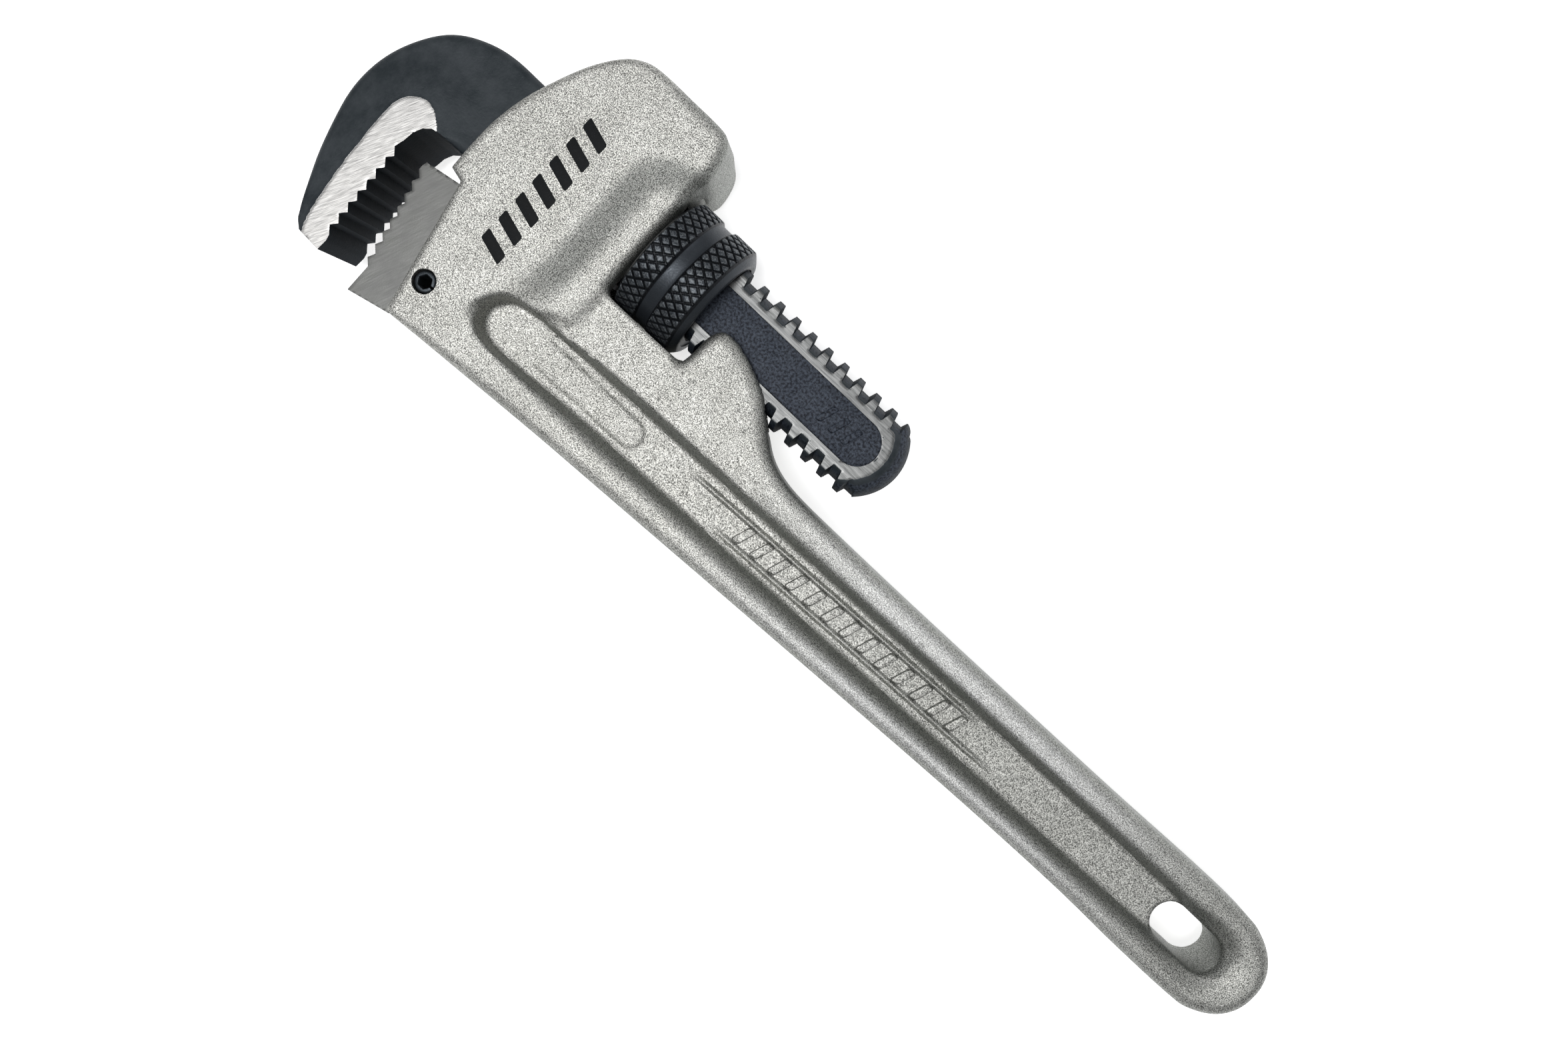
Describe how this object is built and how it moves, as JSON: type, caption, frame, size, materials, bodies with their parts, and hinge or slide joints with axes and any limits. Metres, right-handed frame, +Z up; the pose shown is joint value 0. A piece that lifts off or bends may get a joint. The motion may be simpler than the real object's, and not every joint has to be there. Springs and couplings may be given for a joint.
{
  "type": "pipe wrench",
  "caption": "Straight pipe wrench: cast handle with housing, sliding hook jaw on a threaded shank, knurled adjusting nut, pinned heel jaw, hanging hole.",
  "frame": {"origin": "under the middle of the bounding box, on the plane of the housing's lower side face, with the wrench lying on its side", "axes": "+X along the shank towards the hanging hole, +Y towards the back of the housing, +Z up, out of the wrench's side"},
  "size_m": [0.2406, 0.069, 0.0264],
  "materials": {
    "cast_handle": "rough cast, bead blasted",
    "heel_steel": "hardened, matte grey",
    "pin_steel": "black oxide",
    "forged_steel": "forged, black oxide, ground at the teeth and the shank's flats",
    "nut_steel": "black oxide, knurled",
    "spring_steel": "plain spring steel"
  },
  "bodies": {
    "handle": {"handle": "cast_handle", "heel_jaw": "heel_steel", "heel_jaw_pin": "pin_steel", "coil_spring": "spring_steel"},
    "spring_strip": {"flat_spring": "spring_steel", "spring_rivet": "spring_steel"},
    "hook_jaw": {"hook_jaw": "forged_steel"},
    "nut": {"adjusting_nut": "nut_steel"}
  },
  "joints": [
    {"name": "jaw_rock", "type": "hinge", "parent": "handle", "child": "spring_strip", "pos_m": [-0.0594, 0.02335, 0.0132], "axis": [0, 0, 1], "range_deg": [0, 2.2], "stiffness_Nm_per_rad": 1.2, "springref_deg": -6.88, "deforming": ["coil_spring"]},
    {"name": "nut_spin", "type": "hinge", "parent": "spring_strip", "child": "nut", "pos_m": [-0.0501, 0.01035, 0.0132], "axis": [1, 0, 0], "range_deg": [-212.7, 3231.8]},
    {"name": "jaw_slide", "type": "slide", "parent": "spring_strip", "child": "hook_jaw", "axis": [-1, 0, 0], "range_m": [-0.0025, 0.038]}
  ],
  "couplings": [
    {"joint": "nut_spin", "follows": "jaw_slide", "rad_per_m": 1484.3}
  ]
}
